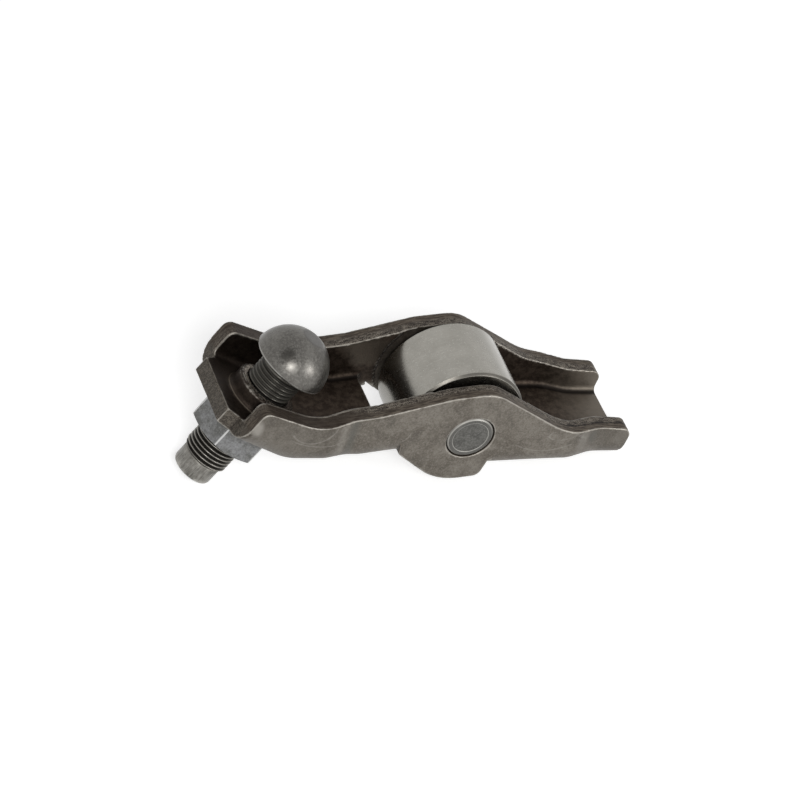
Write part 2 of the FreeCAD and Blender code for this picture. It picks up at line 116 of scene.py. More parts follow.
def divided(path, step):
    """The same path with points added so that none of its runs is longer than step."""
    parts = []
    for a, b in zip(path[:-1], path[1:]):
        count = max(1, int(math.ceil(np.linalg.norm(b - a) / step)))
        parts.append(a + (b - a) * np.linspace(0, 1, count, endpoint=False)[:, None])
    return np.vstack(parts + [path[-1:]])


def about_screw(station, radius, angle):
    """Points at a station along the screw's axis, at a radius and an angle about it:
    foot + station along + radius times (cosine across + sine sideways)."""
    station, radius = np.broadcast_arrays(station, radius)
    ring = np.cos(angle)[..., None] * ACROSS + np.sin(angle)[..., None] * SIDE
    return SCREW_FOOT + station[..., None] * ALONG + radius[..., None] * ring


def hexagon(angle, flats):
    """Radius of a hexagon of a width across flats: half that width over the cosine of the angle from
    the nearest flat's middle."""
    return flats / 2 / np.cos((angle + math.pi / 6) % (math.pi / 3) - math.pi / 6)


# Adjusting screw

PITCH, CREST, ROOT = 0.74, 4.00, 3.55
THREAD_FROM, THREAD_TO, FIRST_CREST = 0.40, 21.00, -0.373
BALL, BALL_RADIUS, BALL_FLAT, BALL_UNDER = 21.90, 6.49, 2.10, 21.85
TAIL_END, TAIL_RADIUS, NECK_RADIUS = -3.02, 3.50, 3.66
SOCKET_FLATS, SOCKET_DEPTH = 4.0, 4.0


def thread_radius(station, angle):
    """Radius of a right-hand thread: a triangle wave of the station in pitches and the angle's share of
    a turn, which runs against the screw, flat at its crest and its root, and eased between."""
    turn = station / PITCH + angle / (2 * math.pi) + FIRST_CREST
    wave = 1.0 - np.abs(2.0 * (turn % 1.0) - 1.0)
    return ROOT + (CREST - ROOT) * smooth((wave - 0.30) / 0.58)


def screw_surface():
    """Rows along the screw from its socket round the tail's end, up the thread, round the ball's
    underside and over the ball, each a ring of radii: the profile's, the thread's or the hexagon's."""
    socket_mouth = (TAIL_END + 0.25, SOCKET_FLATS / 2)
    socket = np.array([(TAIL_END + SOCKET_DEPTH, 1.6), (TAIL_END + SOCKET_DEPTH - 0.1, SOCKET_FLATS / 2)])
    tail = rounded([
        (*socket_mouth, 0), (TAIL_END, 2.35, 0.08), (TAIL_END, TAIL_RADIUS, 0.60), (0.12, TAIL_RADIUS, 0.08),
        (0.30, 3.36, 0.06), (0.42, 3.40, 0.04), (THREAD_FROM + 0.35, CREST, 0.0)], 7)
    barrel = np.array([(THREAD_FROM + 0.35, CREST), (THREAD_TO - 0.1, CREST)])
    neck = rounded([
        (THREAD_TO - 0.1, CREST, 0), (THREAD_TO + 0.2, NECK_RADIUS, 0.12), (BALL_UNDER, NECK_RADIUS, 0.35),
        (BALL_UNDER, BALL_RADIUS, 0.62), (BALL + 0.7, BALL_RADIUS * math.cos(0.108), 0)], 9)
    arc = np.linspace(math.asin(0.7 / BALL_RADIUS), math.acos(BALL_FLAT / BALL_RADIUS), 44)
    dome = np.stack([BALL + BALL_RADIUS * np.sin(arc), BALL_RADIUS * np.cos(arc)], -1)
    top = dome[-1, 0]
    crown = np.array([(top + 0.05, BALL_FLAT - 0.16), (top + 0.07, BALL_FLAT - 0.5), (top + 0.07, 0.7),
                      (top + 0.07, 0.15)])
    profile = np.vstack([socket, divided(tail, 0.25)[:-1], divided(barrel, PITCH / 14)[:-1],
                         divided(neck, 0.16), dome[1:], crown])
    station, radius = profile[:, :1], profile[:, 1:]
    angle = np.linspace(0, 2 * math.pi, 120, endpoint=False)[None, :]
    grid_radius = np.repeat(radius, angle.shape[1], 1)
    threaded = smooth((station - THREAD_FROM + 0.25) / 0.5) * smooth((THREAD_TO + 0.15 - station) / 0.9)
    threaded = threaded * (1.0 - 0.35 * smooth((station - 12.0) / 1.0))
    cut = np.minimum(thread_radius(station, angle), grid_radius)
    on_thread = (station > THREAD_FROM - 0.2) & (station < THREAD_TO + 0.2) & (radius > 3.5)
    grid_radius = np.where(on_thread, grid_radius + (cut - grid_radius) * threaded, grid_radius)
    in_socket = np.arange(len(profile))[:, None] <= len(socket)          # its rows and its mouth
    grid_radius = np.where(in_socket, hexagon(angle, SOCKET_FLATS) * radius / (SOCKET_FLATS / 2), grid_radius)
    depth = np.where(on_thread, (radius - grid_radius) / (CREST - ROOT), 0.0)
    station = np.broadcast_to(station, grid_radius.shape)
    points = about_screw(station, grid_radius, np.broadcast_to(angle, grid_radius.shape))
    points, faces = closed_rows(points, True, True)
    at_poles = [station[0, 0], station[-1, 0]]
    return points, faces, np.append(station.ravel(), at_poles), np.append(depth.ravel(), [0, 0])


def add_screw():
    points, faces, station, depth = screw_surface()
    return make_mesh("ball_screw", points, faces, "screw", "adjusting_screw", "oxide_steel",
                     station=station, depth=depth)


# Lock nut

NUT_LOW, NUT_TALL, NUT_FLATS, NUT_TURN = 5.40, 5.35, 12.0, math.radians(10.7)
NUT_SEAT, NUT_BEVEL = 5.62, math.radians(27)                 # radius of its flat ring, slope of its bevel
NUT_SOFT = 0.035                                             # over which bevel and flat meet


def add_nut():
    """The nut goes round as rows: up the outside, in over the seat, down the bore and back out. Outside,
    each radius is the hexagon's or the bevel cone's, whichever is less, with the corner eased."""
    share = np.concatenate([np.linspace(0, 1, 15, endpoint=False) + k for k in range(6)]) / 6
    fold = (share * 6) % 1.0
    share = (np.floor(share * 6) + 0.5 - 0.5 * np.cos(math.pi * fold)) / 6     # columns gather at corners
    angle = share * 2 * math.pi
    hex_radius = np.minimum(hexagon(angle + math.pi / 6, NUT_FLATS), NUT_FLATS / math.sqrt(3) - 0.05)
    t = np.concatenate([
        np.linspace(0, 0.06, 3), np.linspace(0.1, 1.3, 22), np.linspace(1.6, 3.75, 5),
        np.linspace(4.05, 5.25, 22), np.linspace(5.29, NUT_TALL, 3)])
    from_end = np.minimum(t, NUT_TALL - t)
    cone = NUT_SEAT + from_end / math.tan(NUT_BEVEL) - 0.10 * np.exp(-from_end / 0.05)
    blend = -NUT_SOFT * np.logaddexp(-hex_radius[None, :] / NUT_SOFT, -cone[:, None] / NUT_SOFT)
    outside = np.stack([np.broadcast_to(t[:, None], blend.shape), blend], -1)
    bore = [(NUT_TALL, 5.0), (NUT_TALL, 4.62), (5.30, 4.53), (4.9, 4.07), (4.6, 4.05), (0.75, 4.05),
            (0.45, 4.07), (0.05, 4.53), (0.0, 4.62), (0.0, 5.0)]
    inside = np.broadcast_to(np.array(bore)[:, None, :], (len(bore), len(angle), 2))
    grid = np.vstack([outside, inside])
    points = about_screw(NUT_LOW + grid[..., 0], grid[..., 1],
                         np.broadcast_to(angle + NUT_TURN, grid.shape[:2]))
    points, faces = closed_rows(points, False, False)
    corner = np.clip((grid[..., 1] - 6.74) / 0.10, 0, 1).ravel()
    return make_mesh("hexagon_nut", points, faces, "nut", "lock_nut", "nut_steel", corner=corner)


# Roller and pin, turned about the roller's axis

def turned(profile, columns):
    """A ring surface about +Y: each profile point (y, radius) turned through equal angles."""
    angle = np.linspace(0, 2 * math.pi, columns, endpoint=False)[None, :]
    y, radius = profile[:, :1], profile[:, 1:]
    return np.stack([radius * np.cos(angle), np.broadcast_to(y, (len(profile), columns)),
                     -radius * np.sin(angle)], -1)


def add_roller():
    """Outer ring: a closed profile, bevelled at its outer edges and its bore, with the bevels eased."""
    half, outer, bore, bevel, lip = 6.35, 10.48, 5.73, 0.42, 0.35
    profile = rounded([
        (0.0, outer, 0), (half - bevel, outer, 0.10), (half, outer - bevel, 0.10), (half, bore + lip, 0.06),
        (half - lip, bore, 0.06), (-half + lip, bore, 0.06), (-half, bore + lip, 0.06),
        (-half, outer - bevel, 0.10), (-half + bevel, outer, 0.10), (0.0, outer, 0)], 7)
    profile = divided(profile, 0.8)[:-1]
    points, faces = closed_rows(turned(profile, 160), False, False)
    return make_mesh("cam_roller_ring", points, faces, "cam_roller", "roller", "ground_steel")


def add_pin():
    """Pin: a solid turned profile. Each end is a flat disc in a step, a flat band and a rounded rim."""
    end, radius = 10.17, 4.19
    half = [(0.3, end - 0.07, 0), (3.02, end - 0.07, 0.04), (3.10, end, 0.04), (3.66, end, 0.10),
            (4.04, end - 0.26, 0.12), (4.08, end - 0.9, 0.1), (radius, end - 1.1, 0.05),
            (radius, end - 1.8, 0)]
    corners = [(-y, r, e) for r, y, e in half] + [(y, r, e) for r, y, e in half[::-1]]
    profile = divided(rounded(corners, 6), 0.7)
    points, faces = closed_rows(turned(profile, 128), True, True)
    return make_mesh("pin", points, faces, "arm", "roller_pin", "pin_steel")


# Pressed channel

def half_width(x):
    """Half width over the walls: 11.20 less a smooth step, half of one plus a hyperbolic tangent, at
    each of the two joggles."""
    ball = 0.5 + 0.5 * np.tanh((x + 22.5) / 1.7)
    valve = 0.5 + 0.5 * np.tanh((x - 21.8) / 2.1)
    return 11.20 - 0.95 * ball - 1.60 * valve


def web_height(x):
    """Z of the web's middle line along the channel: straight runs through its measured breaks."""
    return np.interp(x, [-45, -31.7, -18.6, -12.1, 4.7, 17.5, 28.6],
                     [8.3, 1.0, -1.2, -1.0, -6.6, -8.0, -9.7])


def merged(node):
    """A CAD node's mesh with its loose triangles joined."""
    form = bmesh.new()
    form.from_mesh(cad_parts[node].data)
    bmesh.ops.remove_doubles(form, verts=form.verts, dist=2e-6)
    form.normal_update()
    return form


def remeshed(form, cell):
    """Even points, edges and faces of a joined shape, cut on a cubic grid that keeps its sharp edges."""
    mesh = bpy.data.meshes.new("copy")
    form.to_mesh(mesh)
    copy = bpy.data.objects.new("copy", mesh)
    bpy.context.scene.collection.objects.link(copy)
    cut = copy.modifiers.new("grid", "REMESH")
    cut.mode, cut.octree_depth, cut.sharpness = "SHARP", 9, 1.0
    cut.scale = min(0.99, max(copy.dimensions) / MM / 2 ** cut.octree_depth / cell)
    result = copy.evaluated_get(bpy.context.evaluated_depsgraph_get()).to_mesh()
    points = np.empty(len(result.vertices) * 3)
    result.vertices.foreach_get("co", points)
    edges = np.empty(len(result.edges) * 2, np.int64)
    result.edges.foreach_get("vertices", edges)
    faces = [tuple(p.vertices) for p in result.polygons]
    bpy.data.objects.remove(copy)
    bpy.data.meshes.remove(mesh)
    return points.reshape(-1, 3) / MM, edges.reshape(-1, 2), faces


def pulled_onto(form, points, reach):
    """Points moved to the nearest place on a shape, or on one of its sharp edges within reach, and the
    shape's own normal there."""
    tree = BVHTree.FromBMesh(form)
    hits = [tree.find_nearest(p) for p in (points * MM).tolist()]
    onto, normal = np.array([h[0] for h in hits]) / MM, np.array([h[1] for h in hits])
    ends = np.array([[v.co for v in e.verts] for e in form.edges
                     if len(e.link_faces) == 2 and e.calc_face_angle() > math.radians(28)]) / MM
    counts = np.maximum(1, np.ceil(np.linalg.norm(ends[:, 1] - ends[:, 0], axis=1) / 0.05)).astype(int)
    which = np.repeat(np.arange(len(ends)), counts)
    share = (np.arange(len(which)) - np.repeat(np.cumsum(counts) - counts, counts)) / counts[which]
    marks_and_highlights = ends[which, 0] + (ends[which, 1] - ends[which, 0]) * share[:, None]
    edge_tree = KDTree(len(marks_and_highlights))
    for i, mark in enumerate(marks_and_highlights.tolist()):
        edge_tree.insert(mark, i)
    edge_tree.balance()
    found = [edge_tree.find(p) for p in onto.tolist()]
    nearest = marks_and_highlights[[f[1] for f in found]]
    near = np.array([f[2] for f in found]) < reach
    return np.where(near[:, None], nearest, onto), normal


class Surface:
    """Points joined by edges, with the averages and normals that sculpting them needs."""

    def __init__(self, points, edges, faces):
        self.points, self.edges, self.faces = points, edges, faces
        self.corners = np.array([f[:4] if len(f) == 4 else (*f, f[-1]) for f in faces])
        self.degree = np.bincount(edges.ravel(), minlength=len(points)).astype(float)

    def average(self, values):
        """The mean of each point's neighbours."""
        total = np.zeros_like(values)
        for a, b in ((0, 1), (1, 0)):
            if values.ndim == 1:
                total += np.bincount(self.edges[:, a], values[self.edges[:, b]], len(values))
            else:
                for k in range(values.shape[1]):
                    total[:, k] += np.bincount(self.edges[:, a], values[self.edges[:, b], k], len(values))
        return total / (self.degree if values.ndim == 1 else self.degree[:, None])

    def normals(self):
        """Unit normals: the sum over faces of the cross product of their diagonals."""
        p = self.points[self.corners]
        face = np.cross(p[:, 2] - p[:, 0], p[:, 3] - p[:, 1])
        total = np.stack([np.bincount(self.corners.ravel(), np.repeat(face[:, k], 4), len(self.points))
                          for k in range(3)], -1)
        return total / np.maximum(np.linalg.norm(total, axis=1, keepdims=True), 1e-12)

    def unfold(self, aim):
        """Where a face has shrunk, or turned away from its points' aims, its points go to their
        neighbours' mean, eight times over."""
        for _ in range(8):
            p = self.points[self.corners]
            face = np.cross(p[:, 2] - p[:, 0], p[:, 3] - p[:, 1])
            size = np.linalg.norm(face, axis=1)
            turned_away = (face * aim[self.corners].mean(1)).sum(1) < 0.25 * size
            loose = np.unique(self.corners[turned_away | (size < 2e-4)])
            self.points[loose] = self.average(self.points)[loose]

    def relax(self, times, share=1.0):
        """Moves points towards their neighbours' mean and most of the way back, so flats stay put."""
        share = np.broadcast_to(share, len(self.points))[:, None]
        for _ in range(times):
            for pull in (0.60, -0.62):
                self.points = self.points + pull * share * (self.average(self.points) - self.points)

    def round_off(self, times, share):
        """Moves points straight towards their neighbours' mean, which rounds what stands out."""
        share = np.broadcast_to(share, len(self.points))[:, None]
        for _ in range(times):
            self.points = self.points + 0.5 * share * (self.average(self.points) - self.points)


def ripple(points, size, seed):
    """A soft unevenness from -1 to 1: the mean of six sines along fixed random directions."""
    rng = np.random.default_rng(seed)
    total = np.zeros(len(points))
    for _ in range(6):
        direction = rng.normal(size=3)
        direction /= np.linalg.norm(direction) * size * rng.uniform(0.6, 1.5)
        total += np.sin(points @ direction * 2 * math.pi + rng.uniform(0, 6.28))
    return total / 6


def add_channel():
    """The pressed channel, recut evenly from its CAD shape and pulled back onto it, with its sharp edges
    kept. Then it is worked: edges eased, the outer top edges rounded as a press leaves them, and faces
    made slightly uneven. Numbers on its points say where it is worn, sheared, hollow or inside."""
    voxel = 0.26
    form = merged("rocker_body")
    skin = Surface(*remeshed(form, voxel))
    skin.relax(4)
    skin.points, flat = pulled_onto(form, skin.points, 0.55 * voxel)
    form.free()
    skin.unfold(flat)
    x, y, z = skin.points.T
    web = web_height(x)
    wall = half_width(x)
    depth = np.clip((wall - np.abs(y)) / SHEET, 0, 1)             # 0 at a wall's outside, 1 at its inside
    station = (skin.points - SCREW_FOOT) @ ALONG
    across = (skin.points - SCREW_FOOT) @ ACROSS
    in_wall = (wall - np.abs(y) < SHEET + 0.12) & (np.abs(flat[:, 1]) < 0.75)
    # Sheared faces: the walls' tops, the lobes, the plate's end, the window and the toe
    top = in_wall & (z > web + 1.6)
    lobe = in_wall & (x > -12.5) & (x < 4.9)
    plate = (across > 5.4) & (station > 10.6) & (station < 13.9) & (np.abs(flat @ ALONG) < 0.7)
    window = (np.abs(flat[:, 0]) > 0.7) & (np.abs(y) < 7.2) & (x > -15) & (x < 12.2)
    toe = (flat[:, 0] > 0.75) & (x > 27)
    sheared = (top | lobe | plate | window | toe).astype(float)
    # The channel's inner faces, and the foot of the bend between a wall and the web, where painted shade goes
    inside = (1 - smooth((np.abs(y) - (wall - SHEET + 0.05)) / 0.3)) * (z > web - 0.6)
    inside = inside * (station > 12.9)
    corner = wall - SHEET - np.abs(y)
    crease = smooth((corner - 0.25) / 0.3) * smooth((BEND + 0.55 - corner) / 0.5) * smooth((x + 22) / 3)
    crease = crease * (z < web + SHEET / 2 + 1.1) * (z > web)
    outer_top = top * smooth((0.35 - depth) / 0.3)
    for _ in range(2):
        outer_top = 0.4 * outer_top + 0.6 * skin.average(outer_top)
    skin.round_off(1, 0.45)
    skin.round_off(3, 0.8 * outer_top)
    normal = skin.normals()
    bulge = -((skin.average(skin.points) - skin.points) * normal).sum(1) / voxel    # above 0 on an edge
    bulge = 0.5 * bulge + 0.5 * skin.average(bulge)
    sheared = 0.5 * sheared + 0.5 * skin.average(sheared)
    low = smooth((web + 0.2 - z) / 2.5) * (np.abs(flat[:, 1]) < 0.97) * (1 - inside)
    for _ in range(3):
        inside, low = 0.5 * inside + 0.5 * skin.average(inside), 0.5 * low + 0.5 * skin.average(low)
    skin.points = skin.points + normal * (
        0.030 * ripple(skin.points, 7.0, 3) + 0.025 * sheared * ripple(skin.points, 1.0, 5))[:, None]
    wear, hollow = np.clip(bulge / 0.12, 0, 1), np.clip(-bulge / 0.12, 0, 1)
    return make_mesh("pressed_channel", skin.points, skin.faces, "arm", "rocker_body", "hardened_sheet",
                     wear=wear, hollow=hollow, sheared=sheared, inside=inside, depth=depth, low=low,
                     crease=crease)


# Materials

class Value:
    """A node's output that takes part in arithmetic: each operator adds a Math node."""

    def __init__(self, paint, socket):
        self.paint, self.socket = paint, socket

    def _math(self, operation, a, b=0.0):
        return self.paint.node("Math", {"operation": operation}, {0: a, 1: b})

    def __abs__(self):
        return self._math("ABSOLUTE", self)

    def __add__(self, other):
        return self._math("ADD", self, other)

    def __sub__(self, other):
        return self._math("SUBTRACT", self, other)

    def __rsub__(self, other):
        return self._math("SUBTRACT", other, self)

    def __mul__(self, other):
        return self._math("MULTIPLY", self, other)

    __radd__, __rmul__ = __add__, __mul__


class Paint:
    """A material whose nodes are added one call at a time."""

    def __init__(self, name):
        self.material = bpy.data.materials.new(name)
        self.material.use_nodes = True
        self.tree = self.material.node_tree
        self.tree.nodes.clear()
        place = self.node("TexCoord", output="Object")
        self.place = self.node("VectorMath", {"operation": "SCALE"}, {0: place, "Scale": 1 / MM})

    def node(self, kind, settings=None, inputs=None, output=0):
        """Adds a node: settings first, then values or links of its sockets. Gives one output."""
        node = self.tree.nodes.new("ShaderNode" + kind)
        for key, value in (settings or {}).items():
            setattr(node, key, value)
        for key, value in (inputs or {}).items():
            if isinstance(value, Value):
                self.tree.links.new(value.socket, node.inputs[key])
            else:
                node.inputs[key].default_value = value
        return Value(self, node.outputs[output])

    def vector(self, operation, a, b=None, output=0):
        """A Vector Math node on one or two vectors."""
        pair = {0: a} if b is None else {0: a, 1: b}
        return self.node("VectorMath", {"operation": operation}, pair, output)

    def read(self, name):
        """A number stored on the piece's points."""
        return self.node("Attribute", {"attribute_name": name}, output="Fac")

    def noise(self, scale, detail=3.0, rough=0.55, stretch=None, distortion=0.0, vector=None):
        """Noise about 0.5 whose features are 1 / scale millimetres."""
        vector = vector or self.place
        if stretch:
            vector = self.vector("MULTIPLY", vector, stretch)
        return self.node("TexNoise", None, {"Vector": vector, "Scale": scale, "Detail": detail,
                                            "Roughness": rough, "Distortion": distortion})

    def step(self, value, low, high):
        """0 below low, 1 above high, eased between."""
        return self.node("MapRange", {"interpolation_type": "SMOOTHSTEP"},
                         {"Value": value, "From Min": low, "From Max": high})

    def near(self, value, at, width):
        """1 where value is at a place, 0 from width away."""
        return 1.0 - self.step(abs(value - at), width * 0.35, width)

    def within(self, value, low, high, ease):
        """1 between low and high, eased over a distance at both ends."""
        return self.step(value, low - ease, low + ease) * (1.0 - self.step(value, high - ease, high + ease))

    def reach(self, x, z, wide=1.0, high=1.0):
        """Distance from (x, z) in side view, in units of wide along X and high along Z."""
        scaled = self.vector("MULTIPLY", self.vector("SUBTRACT", self.place, (x, 0.0, z)),
                             (1 / wide, 0.0, 1 / high))
        return self.vector("LENGTH", scaled, output="Value")

    def about_screw(self):
        """Station along the screw's axis and radius about it, in millimetres."""
        station = self.along(ALONG, SCREW_FOOT)
        moved = self.vector("SUBTRACT", self.place, tuple(SCREW_FOOT))
        shift = self.node("VectorMath", {"operation": "SCALE"}, {0: tuple(ALONG), "Scale": station})
        return station, self.vector("DISTANCE", moved, shift, output="Value")

    def mix(self, share, a, b):
        """Colour a, or b where share is 1."""
        pair = [(*c, 1.0) if isinstance(c, tuple) and len(c) == 3 else c for c in (a, b)]
        return self.node("Mix", {"data_type": "RGBA"}, {0: share, 6: pair[0], 7: pair[1]}, output=2)

    def axis(self, which):
        """One coordinate in millimetres."""
        return self.node("SeparateXYZ", None, {0: self.place}, output=which)

    def along(self, direction, origin):
        """Distance from origin along a direction, in millimetres."""
        moved = self.vector("SUBTRACT", self.place, tuple(origin))
        return self.vector("DOT_PRODUCT", moved, tuple(direction), output="Value")

    def finish(self, colour, roughness, metallic, height, bump, sockets=None):
        """Ends in one shader. height is in millimetres of relief times bump."""
        normal = self.node("Bump", None, {"Height": height, "Strength": 1.0, "Distance": bump * MM},
                           output="Normal")
        shader = self.node("BsdfPrincipled", None, {
            "Base Color": colour, "Roughness": roughness, "Metallic": metallic, "Normal": normal,
            **(sockets or {})})
        self.node_output(shader)
        return self.material

    def node_output(self, shader):
        out = self.tree.nodes.new("ShaderNodeOutputMaterial")
        self.tree.links.new(shader.socket, out.inputs["Surface"])


def hardened_sheet():
    """Blasted and hardened sheet: mottled brownish grey, pale along worn edges and almost black inside
    the channel, dark oxide under painted shade. Where it was sheared it is streaked near the outside and torn
    and granular within."""
    p = Paint("hardened_sheet")
    wear, hollow, sheared, inside, depth, low, crease = (
        p.read(k) for k in ("wear", "hollow", "sheared", "inside", "depth", "low", "crease"))
    mottle, grain, fine = p.noise(0.13, 4, 0.6), p.noise(0.9, 4, 0.65), p.noise(3.0, 3, 0.75)
    base = p.mix(p.step(mottle, 0.38, 0.64), (0.086, 0.073, 0.057), (0.142, 0.126, 0.104))
    patch = p.noise(0.34, 3, 0.62, distortion=0.8)
    base = p.mix(p.step(patch, 0.50, 0.68) * 0.55, base, (0.182, 0.166, 0.141))
    base = p.mix((1.0 - p.step(patch, 0.34, 0.49)) * 0.55, base, (0.060, 0.051, 0.040))
    base = p.mix(p.step(grain, 0.44, 0.70) * 0.5, base, (0.172, 0.155, 0.131))
    base = p.mix(p.step(fine, 0.50, 0.66) * 0.34, base, (0.245, 0.226, 0.194))
    base = p.mix((1.0 - p.step(fine, 0.36, 0.49)) * 0.42, base, (0.050, 0.041, 0.031))
    base = p.mix(low * 0.55, base, (0.158, 0.152, 0.128))
    base = p.mix((1.0 - p.within(p.axis(0), -24.0, 19.5, 2.5)) * 0.32, base, (0.068, 0.060, 0.049))
    marks_and_highlights, shade, reflection_patch = wall_marks_and_painted_light(p)
    # pale press marks, with painted highlights along the ear's fold and beside the ball-end joggle
    base = p.mix(marks_and_highlights * 0.30, base, (0.290, 0.275, 0.245))
    # painted shade on the ear's facet and the slope of the ball-end joggle
    base = p.mix(shade * 0.75, base, (0.066, 0.064, 0.054))
    # painted highlight on the near wall's rounded corner at the ball end
    corner = 1.0 - p.step(p.reach(-37.6, 8.9, 1.3, 2.1) + (fine - 0.5) * 0.8, 0.3, 1.1)
    corner = corner * (1.0 - p.step(p.axis(1), -10.0, -9.0))
    base = p.mix(corner * 0.6, base, (0.330, 0.312, 0.280))
    # Inside the channel: dark oxide under painted shade
    dark = p.mix(p.step(grain, 0.35, 0.68), (0.024, 0.0160, 0.0112), (0.062, 0.046, 0.0345))
    dark = p.mix(p.step(fine, 0.50, 0.66) * 0.25, dark, (0.110, 0.086, 0.066))
    # painted reflection: a light patch on the far wall's inner face
    dark = p.mix(reflection_patch * 0.7, dark, (0.105, 0.087, 0.068))
    # the painted shade lifts towards the open valve end
    open_end = p.step(p.axis(0) + (grain - 0.5) * 5.0, 17.5, 30.0)
    dark = p.mix(open_end * 0.85, dark, (0.150, 0.130, 0.106))
    # deeper painted shade inside the ball end
    dark = p.mix((1.0 - p.step(p.axis(0), -34.0, -27.0)) * 0.6, dark, (0.010, 0.0065, 0.0045))
    # painted shade in the bend between wall and web
    dark = p.mix(crease * 0.9, dark, (0.006, 0.004, 0.003))
    base = p.mix(inside, base, dark)
    # Sheared edges: streaked, then torn, and smooth over the ball end's walls
    streaks = p.noise(0.50, 4, 0.7, stretch=(1.0, 7.0, 1.0))
    tears = p.noise(1.6, 4, 0.7, stretch=(0.45, 1.5, 0.8))
    smoothed = p.mix(p.step(streaks, 0.38, 0.66), (0.034, 0.0250, 0.0180), (0.125, 0.103, 0.080))
    crumbs = p.noise(5.2, 4, 0.7)
    torn = p.mix(p.step(crumbs * 0.6 + tears * 0.4, 0.44, 0.60),
                 (0.0180, 0.0125, 0.0092), (0.200, 0.174, 0.142))
    ball_end = 1.0 - p.step(p.axis(0) + (mottle - 0.5) * 6.0, -23.0, -17.0)
    in_top = p.step(p.along(ALONG, SCREW_FOOT), 13.6, 14.6)
    smooth_end = ball_end * in_top * (0.45 + p.step(p.axis(0) + (grain - 0.5) * 2.0, -36.4, -34.8) * 0.55)
    tearing = p.step(depth + (grain - 0.5) * 0.6, 0.38, 0.60) * (1.0 - smooth_end * 0.8)
    cut = p.mix(tearing, smoothed, torn)
    cut = p.mix(smooth_end * 0.65, cut, (0.024, 0.0165, 0.0120))
    cut = p.mix(ball_end * (1.0 - in_top) * 0.55, cut, (0.062, 0.054, 0.044))
    burr = p.near(depth + (tears - 0.5) * 0.45, 0.52, 0.08)
    burr = burr * p.step(p.axis(0), 15.0, 18.0) * (1.0 - p.step(p.axis(1), -1.0, 1.0))
    cut = p.mix(burr * 0.9, cut, (0.006, 0.004, 0.003))
    lip = p.near(depth + (fine - 0.5) * 0.1, 0.95, 0.10) * ball_end * in_top * p.step(streaks, 0.36, 0.52)
    cut = p.mix(lip * 0.75, cut, (0.300, 0.272, 0.235))
    base = p.mix(sheared, base, cut)
    # Rubbed edges, painted shade in hollows, and painted highlights on the collar's torn rim and root line
    rub = p.step(wear + (grain - 0.5) * 0.7 + (patch - 0.5) * 0.9, 0.45, 1.0)
    base = p.mix(rub * (0.8 - inside * 0.25), base, (0.340, 0.318, 0.282))
    # painted shade where the surface is hollow
    base = p.mix(p.step(hollow, 0.25, 0.9) * 0.6, base, (0.014, 0.010, 0.0075))
    station, radius = p.about_screw()
    rim = p.step(station, 16.0, 16.25) * (1.0 - p.step(radius + (grain - 0.5) * 0.8, 4.65, 4.95))
    # painted highlight on the collar's rim, brightest on one side
    rim_shine = rim * p.step(p.along(ACROSS, SCREW_FOOT), -1.8, 0.4) * 0.85 + rim * 0.15
    base = p.mix(rim_shine * p.step(fine, 0.38, 0.58), base, (0.520, 0.460, 0.390))
    # painted highlight along the collar's root fillet
    root = p.near(radius, 5.72, 0.11) * p.within(station, 13.6, 14.4, 0.1) * (0.1 + grain)
    base = p.mix(root * 0.8, base, (0.150, 0.126, 0.098))
    roughness = 0.50 + (grain - 0.5) * 0.2 + sheared * 0.1 - rub * 0.16 - rim * 0.15
    relief = fine * 0.9 + grain * 0.5 + (sheared * tearing + rim) * (crumbs * 1.8 + tears * 1.2)
    shine = p.node("Math", {"operation": "MAXIMUM"}, {0: inside, 1: (0.7 + smooth_end * 0.3) * sheared})
    return p.finish(base, roughness, 0.35 + shine * 0.50, relief, 0.045)


